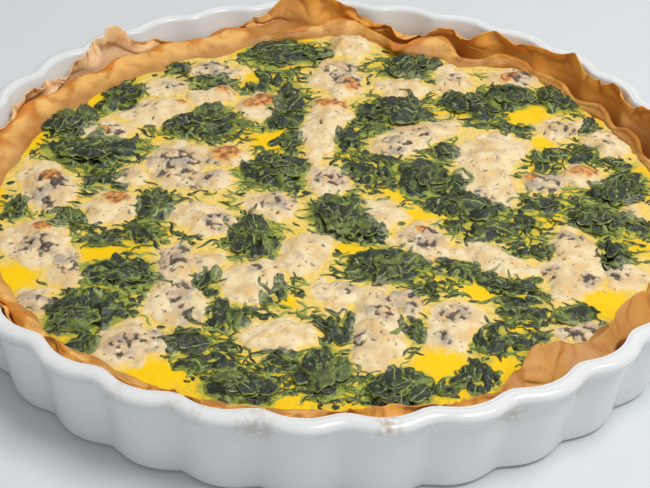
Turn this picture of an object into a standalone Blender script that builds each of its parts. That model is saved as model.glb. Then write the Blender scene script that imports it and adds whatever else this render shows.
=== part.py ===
"""Spinach and cheese tart in its fluted porcelain dish.

The dish stands on z = 0 with its axis on the origin. Baking paper lines the dish, a pastry case
stands in the paper and holds a solid custard, and melted cheese and cooked spinach lie on top.
"""

import math
import random

import bmesh
import bpy
from mathutils import Vector

MM = 0.001
GAP = 0.3 * MM

# Porcelain dish
FLUTES = 32
FLUTE_TURN = math.radians(8.65)
DISH_STEPS = 5 * FLUTES
DISH_HEIGHT = 38 * MM
DISH_FOOT_RADIUS = 137.5 * MM
DISH_LIP_RADIUS = 148.4 * MM
DISH_LIP_WIDTH = 6.2 * MM
DISH_FLOOR = 5 * MM
DISH_INNER_FOOT_RADIUS = 135.8 * MM
DISH_INNER_FOOT_HEIGHT = 8 * MM
OUTER_FLUTE = 1.6 * MM
INNER_FLUTE = 1.5 * MM
FOOT_RECESS_RADIUS = 122 * MM
FOOT_RECESS_DEPTH = 1.2 * MM

# Paper, pastry and custard share three sides to a flute
LINING_STEPS = 3 * FLUTES
LINING_FLUTE = 2.2 * MM
LINING_INSET = 1.2 * MM
PAPER_THICKNESS = 0.6 * MM
PAPER_FOOT_HEIGHT = 8.6 * MM
PAPER_CREASE_HEIGHT = 30.5 * MM
PAPER_LOWEST_EDGE = 33.5 * MM
PAPER_EDGE_RADIUS = 138.9 * MM
CRUST_FLOOR = 4 * MM
CRUST_EDGE_WIDTH = 3.4 * MM
CRUST_TOP = 31.6 * MM
CRUST_FOLD_SHARE = 0.45
CRUST_SHRINK_START = 11 * MM
CRUST_SHRINK_RISE = 15 * MM
CUSTARD_RADIUS = 131 * MM
CUSTARD_TOP = 28 * MM

# Azimuth in degrees, spread in degrees and size in mm of each local change round the edge
CRUST_FOLDS_IN = [
    (113, 7, 11), (128, 10, 9), (145, 12, 9), (170, 12, 7), (74, 6, 13), (62, 4.5, 12), (99, 6, 5),
    (318, 9, 5), (28, 34, 1.2), (50, 4, -1.5),
]
CRUST_RISES = [
    (90, 5, 1.6), (69, 5, 1.2), (160, 10, 0.8), (118, 6, 0.8), (225, 12, 1.0), (28, 34, -2.0),
    (270, 40, -0.8), (100, 5, -1.2), (62, 4, -1.0),
]
CRUST_SHRINKS = [(137, 20, 4.5), (28, 38, 4.5), (77, 4.5, 8), (62, 4, 7), (100, 6, 8.5), (50, 4, -2.5)]
LINING_LEANS_IN = [(75, 3.5, 6), (62.5, 2.5, 4), (118, 4, 4.5)]
PAPER_PEAKS = [
    (132.3, 3, 8), (137, 5, 5.5), (143, 4, 3), (154.5, 2.5, 3.5), (104.5, 2.5, 1.5), (98, 4.5, 9),
    (91, 5, 7.5), (75, 3.5, -1.8), (69, 3, 3), (63.5, 2, -2.5), (58, 3.5, 5), (46, 4.5, 4.5), (41, 2.5, 5),
    (31, 4, 3.5), (21, 3, 5.5), (8, 5, 4), (350, 5, 3), (323, 6, 7), (304, 5, 7), (186, 8, 2), (338, 5, 4),
    (28, 36, 1.5), (115, 7, -2.2),
]
PAPER_LEANS_IN = [
    (133, 4, -2.5), (304, 8, 12), (321, 6, 5), (63, 3.5, 7), (75, 4, 9.5), (113, 5, 3), (10, 7, 2),
    (350, 8, 2), (118, 4, 3),
]

# Toppings
TOPPING_GAP = 0.8 * MM
WALL_GAP = 1.4 * MM
CHEESE_SIDES = 14
SPINACH_SIDES = 12
CHEESE_HEIGHT = 3.6 * MM
SPINACH_HEIGHT = 4.2 * MM
CLIMBING_CHEESE = "cheese_01"
CLIMBING_HEIGHT = 7 * MM
MOUND_HEIGHT = 2.0 * MM
MOUND_ROOT = 1.6 * MM
MOUND_SIDES = 8
RING_PLACES = [(0, 1), (0.7, 0.88), (1, 0.4), (0.92, 0), (0, 0)]
REACH_STEP = 0.25 * MM
SPIKE_LIMIT = 1.3
TOPPING_SEED = 3
MOUND_SEED = 7

# Each piece is its lobes, and each lobe is x, y, half length, half width in mm and its turn in degrees
CHEESE = [
    [(9, 120, 11, 9, 90)],
    [(3, 104, 9, 8, 0), (2, 90, 13, 8, 0), (8, 80, 9, 6, 0)],
    [(32, 85, 12, 9, 0)],
    [(54, 96, 8, 9, 0), (54, 86, 9, 8, 0)],
    [(-50, 96, 13, 7, -10)],
    [(-49, 73, 11, 7, 10)],
    [(-29, 66, 9, 11, 0)],
    [(-70, 62, 12, 9, 0), (-78, 54, 13, 5, -15)],
    [(-57, 28, 14, 7, 0), (-61, 18, 12, 9, 0), (-58, 7, 10, 8, 0)],
    [(-114, 12, 8, 7, 0), (-108, 1, 12, 9, 0), (-106, -9, 8, 9, 0)],
    [(0, 65, 9, 9, 0), (5, 56, 7, 6, 0), (-4, 48, 7, 9, 0), (-2, 31, 9, 10, 0)],
    [(-83, -13, 11, 11, 0)],
    [(-108, -36, 13, 13, 0), (-101, -47, 10, 8, 0)],
    [(-49, -17, 11, 9, 0), (-43, -22, 8, 10, 0)],
    [(-22, -8, 11, 8, 0), (-17, -14, 6, 6, 0)],
    [(-55, -43, 10, 9, 0), (-55, -54, 8, 8, 0), (-54, -66, 10, 9, 0), (-51, -79, 12, 10, 0)],
    [(-63, -93, 14, 9, 0), (-69, -101, 9, 8, 0)],
    [(-25, -57, 12, 12, 0), (-27, -68, 8, 8, 0)],
    [(-7, -36, 11, 9, 0), (-10, -46, 9, 9, 0)],
    [(-15, -90, 13, 9, 0)],
    [(1, 9, 11, 10, 0)],
    [(48, 53, 10, 7, 0), (35, 44, 13, 9, 25), (25, 35, 9, 7, 0)],
    [(68, 37, 17, 12, 0), (62, 24, 11, 9, 0), (64, 8, 12, 11, 0), (72, -3, 5, 6, 0)],
    [(102, 17, 9, 9, 0), (84, 11, 9, 8, 0)],
    [(97, 53, 10, 8, 0)],
    [(114, 42, 12, 9, -50)],
    [(35, -29, 11, 9, 0), (40, -37, 6, 7, 0)],
    [(56, -38, 12, 6, 0), (68, -46, 11, 6, -10)],
    [(90, -49, 12, 11, 0), (86, -60, 8, 7, 0), (93, -29, 9, 9, 0), (94, -38, 8, 7, 0)],
    [(17, -66, 12, 9, 0), (20, -80, 9, 9, 0), (20, -93, 9, 9, 0), (18, -104, 9, 8, 0)],
    [(48, -77, 11, 9, 0), (43, -88, 8, 8, 0)],
]
SPINACH = [
    [(-25, 113, 15, 9, 0), (-8, 112, 12, 8, 0), (-28, 104, 8, 6, 0)],
    [(-16, 74, 6, 18, 0), (-17, 56, 7, 10, 0), (-23, 50, 8, 7, 0)],
    [(-47, 53, 10, 13, 0), (-58, 48, 9, 11, 60)],
    [(-88, 30, 18, 9, 15), (-95, 20, 12, 7, 0), (-106, 28, 9, 8, 0)],
    [(-85, 78, 8, 10, 0), (-91, 65, 7, 7, 0)],
    [(-22, 16, 15, 11, 0), (-13, 7, 9, 6, 0)],
    [(-66, -12, 7, 12, 0)],
    [(-27, -29, 9, 14, 0), (-20, -38, 5, 9, 0)],
    [(-107, 50, 11, 14, 0)],
    [(-76, -56, 17, 9, 0), (-65, -60, 8, 9, 0)],
    [(-83, -79, 15, 15, 0), (-92, -90, 7, 11, 0)],
    [(-27, -119, 13, 8, -10)],
    [(0, -109, 7, 15, 0)],
    [(37, 105, 11, 9, 0), (30, 98, 9, 6, 30)],
    [(78, 79, 11, 11, 0)],
    [(96, 80, 7, 11, 0), (105, 73, 5, 9, 0)],
    [(56, 75, 10, 8, 10), (65, 63, 7, 8, 0)],
    [(20, 64, 10, 11, 0), (33, 62, 9, 9, 0), (28, 73, 9, 5, 0)],
    [(36, 19, 11, 8, 10), (38, 7, 13, 9, 0)],
    [(108, 2, 10, 9, 0), (118, 13, 8, 11, 0)],
    [(8, -18, 15, 12, -10), (16, -27, 10, 8, 0), (5, -4, 10, 6, 0)],
    [(22, -47, 13, 12, 0), (32, -45, 5, 9, 0)],
    [(47, -5, 10, 8, 0), (60, -10, 12, 7, -15)],
    [(103, -12, 10, 13, 0)],
    [(25, -117, 12, 12, 0)],
]
# Smaller pieces, one lobe each, that are fused to the custard as low mounds
SMALL_CHEESE = [
    (-70, 80, 9, 7, 40), (-89, 43, 9, 8, 20), (-41, 25, 8, 7, 0), (-43, 8, 6, 7, 0), (-77, 9, 6, 7, 0),
    (-94, -57, 7, 6, 0), (-102, -74, 8, 6, 60), (-43, -47, 6, 7, 0), (81, 96, 11, 8, 0), (22, -13, 7, 9, 20),
    (119, -8, 4, 5, 0), (4, -66, 8, 9, 0), (30, -70, 5, 7, 0), (89, -84, 9, 5, 0), (110, -51, 9, 6, 60),
]
SMALL_SPINACH = [
    (-53, 86, 12, 4, 0), (-66, 96, 6, 6, 0), (-28, 87, 7, 10, 0), (-86, 5, 10, 6, -30), (-98, -21, 9, 6, -20),
    (-118, -15, 5, 8, 0), (-84, -34, 10, 5, 20), (-67, -32, 8, 5, -20), (-42, -59, 5, 9, 0),
    (-18, -65, 4, 9, 0), (-33, -79, 8, 9, 0), (-46, -94, 8, 6, 0), (-40, -106, 9, 5, 0), (-13, -104, 7, 6, 0),
    (-83, -96, 6, 6, 0), (-15, 38, 6, 9, 0), (9, 39, 6, 9, 0), (20, 50, 6, 4, 0), (11, 14, 5, 9, 20),
    (21, 20, 6, 9, 0), (47, 33, 6, 8, 0),
    (50, 10, 4, 8, 0), (75, 54, 9, 3, -15), (88, 31, 6, 7, 0), (104, 33, 7, 5, 40), (117, 26, 6, 4, -20),
    (108, 54, 8, 3, 55), (56, -23, 11, 6, -20), (76, -18, 7, 7, 0), (84, -4, 8, 5, 20), (76, -34, 9, 4, 10),
    (107, -36, 7, 10, 0), (119, -17, 5, 6, 0), (48, -49, 8, 7, 0), (61, -56, 7, 4, -25), (71, -59, 8, 6, 0),
    (69, -72, 8, 7, 0), (92, -75, 8, 5, 0), (58, -89, 7, 9, -15), (72, -92, 8, 8, 0), (5, -84, 5, 10, -20),
    (31, -85, 4, 8, 0), (53, -109, 6, 9, 0), (37, -60, 4, 5, 0), (41, -116, 9, 3, 30),
]

PORCELAIN = ("porcelain", (0.86, 0.87, 0.88), 0.12)
PAPER = ("baking_paper", (0.62, 0.32, 0.12), 0.55)
PASTRY = ("pastry", (0.78, 0.45, 0.19), 0.60)
CUSTARD = ("custard", (0.93, 0.70, 0.06), 0.35)
CHEESE_CREAM = ("cheese", (0.87, 0.76, 0.53), 0.40)
SPINACH_GREEN = ("spinach", (0.07, 0.13, 0.07), 0.45)


def clear_scene():
    for obj in list(bpy.data.objects):
        bpy.data.objects.remove(obj)


def new_collection(name):
    collection = bpy.data.collections.new(name)
    bpy.context.scene.collection.children.link(collection)
    return collection


def material(finish):
    name, colour, roughness = finish
    made = bpy.data.materials.get(name) or bpy.data.materials.new(name)
    made.use_nodes = True
    shader = made.node_tree.nodes["Principled BSDF"]
    shader.inputs["Base Color"].default_value = (*colour, 1)
    shader.inputs["Roughness"].default_value = roughness
    return made


def object_from(bm, name, collection, finish):
    bmesh.ops.recalc_face_normals(bm, faces=bm.faces)
    mesh = bpy.data.meshes.new(name)
    bm.to_mesh(mesh)
    bm.free()
    mesh.materials.append(material(finish))
    mesh.shade_smooth()
    mesh.set_sharp_from_angle(angle=math.radians(40))
    obj = bpy.data.objects.new(name, mesh)
    collection.objects.link(obj)
    return obj


def flute_wave(angle):
    """Rises to a broad crest and falls to a narrow valley once in each flute."""
    phase = FLUTES * (angle - FLUTE_TURN)
    return math.cos(phase) - 0.15 * math.cos(2 * phase)


def local_change(angle, changes):
    """The sum, in metres, of the smooth bumps listed round the edge."""
    total = 0.0
    for azimuth, spread, size in changes:
        away = (math.degrees(angle) - azimuth + 180) % 360 - 180
        total += size * math.exp(-((away / spread) ** 2))
    return total * MM


def lofted(name, sections, steps, collection, finish):
    """A closed solid through rings. A section gives radius and height at an angle."""
    bm = bmesh.new()
    rings = []
    for section in sections:
        ring = []
        for step in range(steps):
            angle = 2 * math.pi * step / steps + FLUTE_TURN
            radius, height = section(angle)
            ring.append(bm.verts.new((radius * math.cos(angle), radius * math.sin(angle), height)))
        rings.append(ring)
    for lower, upper in zip(rings, rings[1:]):
        for step in range(steps):
            after = (step + 1) % steps
            bm.faces.new((lower[step], lower[after], upper[after], upper[step]))
    bm.faces.new(rings[0])
    bm.faces.new(rings[-1])
    return object_from(bm, name, collection, finish)


def fluted(radius, height, depth):
    """A section whose radius follows the flutes."""
    return lambda angle: (radius + depth * flute_wave(angle), height)


def make_dish(collection):
    foot = DISH_FOOT_RADIUS
    lip = DISH_LIP_RADIUS
    top = DISH_HEIGHT
    dish = lofted(
        "dish",
        [
            fluted(foot, 0, 0.6 * OUTER_FLUTE),
            fluted(foot + 2.9 * MM, 2.2 * MM, OUTER_FLUTE),
            fluted(foot + 5.7 * MM, 18 * MM, OUTER_FLUTE),
            fluted(lip - 3.8 * MM, top - 7 * MM, OUTER_FLUTE),
            fluted(lip, top - 3 * MM, OUTER_FLUTE),
            fluted(lip - 1.0 * MM, top - 0.6 * MM, OUTER_FLUTE),
            fluted(lip - 3.4 * MM, top, OUTER_FLUTE),
            fluted(lip - DISH_LIP_WIDTH, top - 1.4 * MM, INNER_FLUTE),
            fluted(DISH_INNER_FOOT_RADIUS, DISH_INNER_FOOT_HEIGHT, INNER_FLUTE),
            fluted(DISH_INNER_FOOT_RADIUS - 4.3 * MM, DISH_FLOOR, 0.4 * INNER_FLUTE),
        ],
        DISH_STEPS,
        collection,
        PORCELAIN,
    )
    cutters = new_collection("cutters")
    bm = bmesh.new()
    bmesh.ops.create_cone(
        bm, cap_ends=True, segments=48, radius1=FOOT_RECESS_RADIUS, radius2=FOOT_RECESS_RADIUS - MM,
        depth=2 * FOOT_RECESS_DEPTH,
    )
    recess = object_from(bm, "foot_recess", cutters, PORCELAIN)
    recess.hide_render = True
    recess.display_type = "WIRE"
    cut = dish.modifiers.new("foot_recess", "BOOLEAN")
    cut.operation = "DIFFERENCE"
    cut.object = recess


def lining_radius(height, angle):
    """Outer radius of the paper, which follows the wall of the dish apart from a few folds."""
    inner_lip_radius = DISH_LIP_RADIUS - DISH_LIP_WIDTH
    lean = (inner_lip_radius - DISH_INNER_FOOT_RADIUS) / (DISH_HEIGHT - DISH_INNER_FOOT_HEIGHT)
    wall = DISH_INNER_FOOT_RADIUS + lean * (height - DISH_INNER_FOOT_HEIGHT)
    share = max((height - PAPER_FOOT_HEIGHT) / (PAPER_CREASE_HEIGHT - PAPER_FOOT_HEIGHT), 0)
    return wall - LINING_INSET + LINING_FLUTE * flute_wave(angle) - share * local_change(angle, LINING_LEANS_IN)


def paper_edge(angle):
    ruffle = 0.9 * MM * math.sin(23 * angle + 2 * math.sin(7 * angle))
    height = PAPER_LOWEST_EDGE + local_change(angle, PAPER_PEAKS) + 0.6 * ruffle
    radius = PAPER_EDGE_RADIUS - local_change(angle, PAPER_LEANS_IN) + ruffle
    return radius, height


def paper_outer(height, angle):
    """Outer radius of the paper, straight from its crease up to its edge."""
    if height <= PAPER_CREASE_HEIGHT:
        return lining_radius(height, angle)
    crease_radius = lining_radius(PAPER_CREASE_HEIGHT, angle)
    edge_radius, edge_height = paper_edge(angle)
    share = min((height - PAPER_CREASE_HEIGHT) / (edge_height - PAPER_CREASE_HEIGHT), 1)
    return crease_radius + share * (edge_radius - crease_radius)


def make_paper(collection):
    floor = DISH_FLOOR + GAP
    floor_radius = 130 * MM

    def foot(angle):
        return lining_radius(PAPER_FOOT_HEIGHT, angle), floor + 3.2 * MM

    def crease(angle):
        return lining_radius(PAPER_CREASE_HEIGHT, angle), PAPER_CREASE_HEIGHT

    def inside(section, rise):
        def moved(angle):
            radius, height = section(angle)
            return radius - PAPER_THICKNESS, height + rise
        return moved

    lofted(
        "paper",
        [
            lambda angle: (floor_radius, floor),
            foot,
            crease,
            paper_edge,
            inside(crease, 0),
            inside(foot, 0.3 * MM),
            lambda angle: (floor_radius - PAPER_THICKNESS, floor + PAPER_THICKNESS),
        ],
        LINING_STEPS,
        collection,
        PAPER,
    )


def crust_top(angle):
    return CRUST_TOP + local_change(angle, CRUST_RISES) + 0.4 * MM * flute_wave(angle)


def custard_radius(angle):
    """Radius where the custard meets the pastry, drawn in where the pastry folds over."""
    return CUSTARD_RADIUS - local_change(angle, CRUST_FOLDS_IN) + 0.8 * MM * flute_wave(angle)


def crust_outer(height, angle):
    """Outer radius of the pastry, which has shrunk from its paper towards the top."""
    share = min(max((height - CRUST_SHRINK_START) / CRUST_SHRINK_RISE, 0), 1)
    return paper_outer(height, angle) - PAPER_THICKNESS - GAP - share * local_change(angle, CRUST_SHRINKS)


def make_crust(collection):
    floor = DISH_FLOOR + GAP + PAPER_THICKNESS + GAP
    floor_radius = 127 * MM

    def outer(height, inset):
        return lambda angle: (crust_outer(height, angle) - inset, height)

    def shoulder(angle):
        height = crust_top(angle) - 1.6 * MM
        return crust_outer(height, angle) - 0.2 * MM, height

    def crown(angle):
        height = crust_top(angle)
        return crust_outer(height, angle) - 1.8 * MM, height

    def inner_crown(angle):
        height = crust_top(angle) - 0.5 * MM
        edge = crust_outer(height, angle) - CRUST_EDGE_WIDTH
        return edge - CRUST_FOLD_SHARE * max(edge - custard_radius(angle) - 1.8 * MM, 0), height

    def waterline(angle):
        return custard_radius(angle), CUSTARD_TOP - 1.0 * MM

    def inner_floor(angle):
        return min(custard_radius(angle), CUSTARD_RADIUS) - 4 * MM, floor + CRUST_FLOOR

    lofted(
        "crust",
        [
            lambda angle: (floor_radius, floor),
            outer(11 * MM, 0.4 * MM),
            shoulder,
            crown,
            inner_crown,
            waterline,
            inner_floor,
        ],
        LINING_STEPS,
        collection,
        PASTRY,
    )


def depth_in_lobe(x, y, lobe):
    """How far a point lies inside a lobe's outline, in metres, negative outside."""
    lobe_x, lobe_y, half_length, half_width, turn = lobe
    cos_turn = math.cos(math.radians(turn))
    sin_turn = math.sin(math.radians(turn))
    dx = x - lobe_x * MM
    dy = y - lobe_y * MM
    along = (dx * cos_turn + dy * sin_turn) / (half_length * MM)
    across = (dy * cos_turn - dx * sin_turn) / (half_width * MM)
    return (1 - math.hypot(along, across)) * min(half_length, half_width) * MM


def depth_in_piece(x, y, lobes):
    return max(depth_in_lobe(x, y, lobe) for lobe in lobes)


def wall_clearance(x, y):
    return custard_radius(math.atan2(y, x)) - math.hypot(x, y)


def middle_of(lobes):
    """The mean of the lobes' centres, each weighted by its area."""
    weights = [lobe[2] * lobe[3] for lobe in lobes]
    x = sum(w * lobe[0] for w, lobe in zip(weights, lobes)) / sum(weights)
    y = sum(w * lobe[1] for w, lobe in zip(weights, lobes)) / sum(weights)
    return x * MM, y * MM


def owns(x, y, piece, others):
    """Whether a point belongs to this piece, clear of its neighbours and of the pastry."""
    depth = depth_in_piece(x, y, piece)
    if depth < 0 or wall_clearance(x, y) < WALL_GAP:
        return False
    return all(depth > depth_in_piece(x, y, other) + TOPPING_GAP for other in others)


def outline_of(piece, others, sides):
    """Offsets from the piece's middle to its edge, spread evenly round a long piece too."""
    middle_x, middle_y = middle_of(piece)
    half_x = max(abs(lobe[0] * MM - middle_x) + lobe[2] * MM for lobe in piece)
    half_y = max(abs(lobe[1] * MM - middle_y) + lobe[3] * MM for lobe in piece)
    reaches = []
    for side in range(sides):
        turn = 2 * math.pi * side / sides
        way = Vector((half_x * math.cos(turn), half_y * math.sin(turn), 0)).normalized()
        reach = 2 * MM
        while owns(middle_x + reach * way.x, middle_y + reach * way.y, piece, others):
            reach += REACH_STEP
        reaches.append((way, reach))
    return [way * blunted(reaches, side) for side, (way, _) in enumerate(reaches)]


def blunted(reaches, side):
    """Holds back a spike whose two neighbours reach less far."""
    before = reaches[side - 1][1]
    after = reaches[(side + 1) % len(reaches)][1]
    return min(reaches[side][1], SPIKE_LIMIT * (before + after) / 2)


def mound_shape(name, piece, others, base, height, sides, roughness, draw, collection, finish):
    """A rounded piece that starts as a sphere and takes the outline of its lobes."""
    near = [other for other in others if other is not piece and is_near(other, piece)]
    outline = outline_of(piece, near, sides)
    middle = Vector((*middle_of(piece), base))
    bm = bmesh.new()
    bmesh.ops.create_uvsphere(bm, u_segments=sides, v_segments=4, radius=1)
    for vert in bm.verts:
        side = round(math.atan2(vert.co.y, vert.co.x) * sides / (2 * math.pi)) % sides
        share, level = ring_place(vert.co.z)
        if level > 0:
            share *= 1 - 0.3 * roughness * draw.random()
            level *= 1 + roughness * draw.uniform(-0.5, 0.25)
        vert.co = middle + share * outline[side] + Vector((0, 0, level * height))
    return object_from(bm, name, collection, finish)


def ring_place(latitude):
    """Share of the outline's reach and of the height for a pole or a ring of the sphere."""
    ring = round(4 * math.acos(max(-1, min(1, latitude))) / math.pi)
    return RING_PLACES[ring]


def is_near(other, piece):
    """Whether two pieces could touch, from the distance between their lobes."""
    return any(
        math.hypot(a[0] - b[0], a[1] - b[1]) < max(a[2], a[3]) + max(b[2], b[3]) + 4
        for a in other
        for b in piece
    )


def low_mounds():
    return [[lobe] for lobe in SMALL_CHEESE + SMALL_SPINACH]


def make_toppings(collection):
    pieces = CHEESE + SPINACH + low_mounds()
    base = CUSTARD_TOP + GAP
    draw = random.Random(TOPPING_SEED)
    for number, piece in enumerate(CHEESE, 1):
        name = f"cheese_{number:02d}"
        height = CHEESE_HEIGHT * draw.uniform(0.85, 1.25)
        if name == CLIMBING_CHEESE:
            height = CLIMBING_HEIGHT
        mound_shape(name, piece, pieces, base, height, CHEESE_SIDES, 0.3, draw, collection, CHEESE_CREAM)
    for number, piece in enumerate(SPINACH, 1):
        name = f"spinach_{number:02d}"
        height = SPINACH_HEIGHT * draw.uniform(0.85, 1.03)
        mound_shape(name, piece, pieces, base, height, SPINACH_SIDES, 0.8, draw, collection, SPINACH_GREEN)


def make_custard(collection):
    floor = DISH_FLOOR + GAP + PAPER_THICKNESS + GAP + CRUST_FLOOR + GAP

    def foot(angle):
        return min(custard_radius(angle), CUSTARD_RADIUS) - 4.8 * MM, floor

    def brim(angle):
        return custard_radius(angle) - 0.6 * MM, CUSTARD_TOP

    custard = lofted("custard", [foot, brim], LINING_STEPS, collection, CUSTARD)
    fused = new_collection("fused_mounds")
    draw = random.Random(MOUND_SEED)
    mounds = low_mounds()
    pieces = CHEESE + SPINACH + mounds
    base = CUSTARD_TOP - MOUND_ROOT
    for number, mound in enumerate(mounds):
        height = MOUND_ROOT + MOUND_HEIGHT * draw.uniform(0.7, 1.1)
        mound_shape(f"mound_{number}", mound, pieces, base, height, MOUND_SIDES, 0.3, draw, fused, CUSTARD)
    join = custard.modifiers.new("mounds", "BOOLEAN")
    join.operation = "UNION"
    join.operand_type = "COLLECTION"
    join.collection = fused
    join.solver = "MANIFOLD"
    graph = bpy.context.evaluated_depsgraph_get()
    joined = bpy.data.meshes.new_from_object(custard.evaluated_get(graph))
    custard.modifiers.clear()
    custard.data = joined
    for obj in list(fused.objects):
        bpy.data.objects.remove(obj)


def main():
    clear_scene()
    tart = new_collection("spinach_tart")
    make_dish(tart)
    make_paper(tart)
    make_crust(tart)
    make_custard(tart)
    make_toppings(tart)


main()
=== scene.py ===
"""Looks of the spinach tart: porcelain, baking paper, pastry, custard, melted cheese and spinach."""

import math
import random

import bmesh
import bpy
import numpy as np
from mathutils import Matrix, Vector, bvhtree, noise


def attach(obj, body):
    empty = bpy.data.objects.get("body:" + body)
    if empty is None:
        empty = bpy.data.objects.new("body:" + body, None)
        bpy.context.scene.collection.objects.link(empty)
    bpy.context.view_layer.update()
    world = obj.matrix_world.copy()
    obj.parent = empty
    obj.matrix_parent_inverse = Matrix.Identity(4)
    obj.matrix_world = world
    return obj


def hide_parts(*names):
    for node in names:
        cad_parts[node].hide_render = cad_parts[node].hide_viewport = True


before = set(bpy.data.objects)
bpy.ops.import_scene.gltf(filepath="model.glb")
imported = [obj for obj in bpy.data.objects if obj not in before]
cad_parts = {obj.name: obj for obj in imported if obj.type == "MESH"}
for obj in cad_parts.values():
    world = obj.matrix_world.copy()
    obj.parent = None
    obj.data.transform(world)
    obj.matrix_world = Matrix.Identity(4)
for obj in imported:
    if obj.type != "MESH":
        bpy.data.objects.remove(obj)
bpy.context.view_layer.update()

MM = 0.001
TURN = 2 * math.pi

# The dish, the paper and the pastry repeat the forms of the solids that they replace
FLUTES = 32
FLUTE_TURN = math.radians(8.65)
DISH_HEIGHT = 38 * MM
DISH_FOOT_RADIUS = 137.5 * MM
DISH_LIP_RADIUS = 148.4 * MM
DISH_LIP_WIDTH = 6.2 * MM
DISH_LIP_INSIDE = DISH_LIP_RADIUS - DISH_LIP_WIDTH
DISH_FLOOR = 5 * MM
DISH_INNER_FOOT_RADIUS = 135.8 * MM
DISH_INNER_FOOT_HEIGHT = 8 * MM
DISH_WALL_LEAN = (DISH_LIP_INSIDE - DISH_INNER_FOOT_RADIUS) / (DISH_HEIGHT - DISH_INNER_FOOT_HEIGHT)
OUTER_FLUTE = 1.6 * MM
INNER_FLUTE = 1.5 * MM
FOOT_RECESS_RADIUS = 122 * MM
FOOT_RECESS_DEPTH = 1.2 * MM
LINING_FLUTE = 2.2 * MM
LINING_INSET = 1.2 * MM
PAPER_THICKNESS = 0.35 * MM
PAPER_FOOT_HEIGHT = 8.6 * MM
PAPER_CREASE_HEIGHT = 30.5 * MM
PAPER_LOWEST_EDGE = 33.5 * MM
PAPER_EDGE_RADIUS = 138.9 * MM
PAPER_CRUMPLE_BAND = 3 * MM
PAPER_TALLEST = 45.2 * MM
PAPER_ROOM = 0.5 * MM
CRUST_EDGE_WIDTH = 3.4 * MM
CRUST_TOP = 31.6 * MM
CRUST_FOLD_SHARE = 0.45
CRUST_SHRINK_START = 11 * MM
CRUST_SHRINK_RISE = 15 * MM
CRUST_BOTTOM = 6.2 * MM
LEVELLED = 0.8
CRUST_GAP = 1.0 * MM
CRUST_ROOM = 0.6 * MM
CUSTARD_RADIUS = 131 * MM
CUSTARD_TOP = 28 * MM
CUSTARD_BOTTOM = 10.5 * MM

# How finely each form is drawn
DISH_STEPS_PER_FLUTE = 11
LINING_STEPS_PER_FLUTE = 27
PAPER_ROWS = 22
CUSTARD_CELLS = 210
CUSTARD_RIM_STEPS = 1440
OUTLINE_STEPS = 72
TOPPING_CELL = 0.62 * MM
SMALL_CHEESE_CELL = 0.6 * MM
SMALL_SPINACH_CELL = 0.7 * MM
LEAF_CELLS = 18

# Thin sheets and where they may lie
LEAF_THICKNESS = 0.25 * MM
STRIP_THICKNESS = 0.35 * MM
SHRED_THICKNESS = 0.45 * MM
STRIPS_END = 126 * MM
SHREDS_END = 128 * MM

# Azimuth and spread in degrees of the dry paper, of the paper darkened as painted shade, and of the pale
# pastry
DRY_PAPER = (140, 26)
SHADED_PAPER = (312, 22)
PALE_PASTRY = (20, 45)

# Azimuth in degrees, spread in degrees and size in mm of each local change round the edge
CRUST_FOLDS_IN = [
    (113, 7, 11), (128, 10, 9), (145, 12, 9), (170, 12, 7), (74, 6, 13), (62, 4.5, 12), (99, 6, 5),
    (318, 9, 5), (28, 34, 1.2), (50, 4, -1.5),
]
CRUST_RISES = [
    (90, 5, 1.6), (69, 5, 1.2), (160, 10, 0.8), (118, 6, 0.8), (225, 12, 1.0), (28, 34, -2.0),
    (270, 40, -0.8), (100, 5, -1.2), (62, 4, -1.0),
]
CRUST_SHRINKS = [(137, 20, 4.5), (28, 38, 4.5), (77, 4.5, 8), (62, 4, 7), (100, 6, 8.5), (50, 4, -2.5)]
LINING_LEANS_IN = [(75, 3.5, 6), (62.5, 2.5, 4), (118, 4, 4.5)]
PAPER_PEAKS = [
    (132.3, 3, 8), (137, 5, 5.5), (143, 4, 3), (154.5, 2.5, 3.5), (104.5, 2.5, 1.5), (98, 4.5, 9),
    (91, 5, 7.5), (75, 3.5, -1.8), (69, 3, 3), (63.5, 2, -2.5), (58, 3.5, 5), (46, 4.5, 4.5), (41, 2.5, 5),
    (31, 4, 3.5), (21, 3, 5.5), (8, 5, 4), (350, 5, 3), (323, 6, 7), (304, 5, 7), (186, 8, 2), (338, 5, 4),
    (28, 36, 1.5), (115, 7, -2.2),
]
PAPER_LEANS_IN = [
    (133, 4, -2.5), (304, 8, 12), (321, 6, 5), (63, 3.5, 7), (75, 4, 9.5), (113, 5, 3), (10, 7, 2),
    (350, 8, 2), (118, 4, 3),
]

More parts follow.
